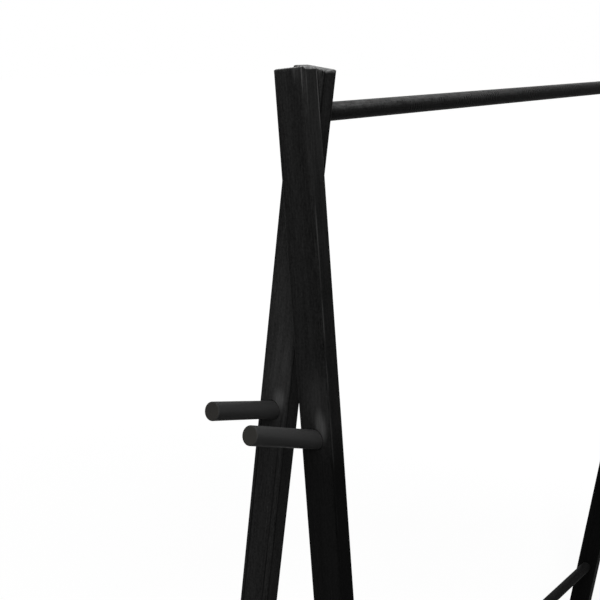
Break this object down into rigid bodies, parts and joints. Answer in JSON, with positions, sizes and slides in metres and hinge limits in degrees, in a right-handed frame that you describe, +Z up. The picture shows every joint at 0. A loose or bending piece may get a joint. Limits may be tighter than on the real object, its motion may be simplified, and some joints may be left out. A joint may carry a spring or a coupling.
{
  "type": "clothes rack",
  "caption": "Free-standing clothes rack with crossed-leg end frames, a round hanging rail, low round stretchers and upturned coat pegs on the outer faces of the legs.",
  "frame": {"origin": "on the floor plane, midway between the two end frames and midway between front and back feet", "axes": "+X along the hanging rail towards the right end, +Y to the back, +Z up"},
  "size_m": [1.7498, 0.3974, 1.5681],
  "materials": {
    "stained_wood": "black stain under a thin matt clear coat, faint grain",
    "lacquered_wood": "black lacquer, smooth satin",
    "beech_dowel": "bare turned beech",
    "zinc_steel": "zinc plated",
    "black_nylon": "moulded, fine matt"
  },
  "bodies": {
    "root": {"left_outer_leg": "stained_wood", "left_inner_leg": "stained_wood", "right_outer_leg": "stained_wood", "right_inner_leg": "stained_wood", "hanging_rail": "stained_wood", "front_stretcher": "stained_wood", "back_stretcher": "stained_wood", "left_outer_peg": "lacquered_wood", "left_inner_peg": "lacquered_wood", "right_outer_peg": "lacquered_wood", "right_inner_peg": "lacquered_wood", "left_crossing_dowels": "beech_dowel", "right_crossing_dowels": "beech_dowel", "left_crossing_screws": "zinc_steel", "right_crossing_screws": "zinc_steel", "left_rail_screw": "zinc_steel", "right_rail_screw": "zinc_steel", "left_stretcher_bolts": "zinc_steel", "right_stretcher_bolts": "zinc_steel", "stretcher_barrel_nuts": "zinc_steel", "left_peg_screws": "zinc_steel", "right_peg_screws": "zinc_steel", "glide_nails": "zinc_steel", "left_front_glide": "black_nylon", "left_back_glide": "black_nylon", "right_front_glide": "black_nylon", "right_back_glide": "black_nylon"}
  },
  "joints": []
}
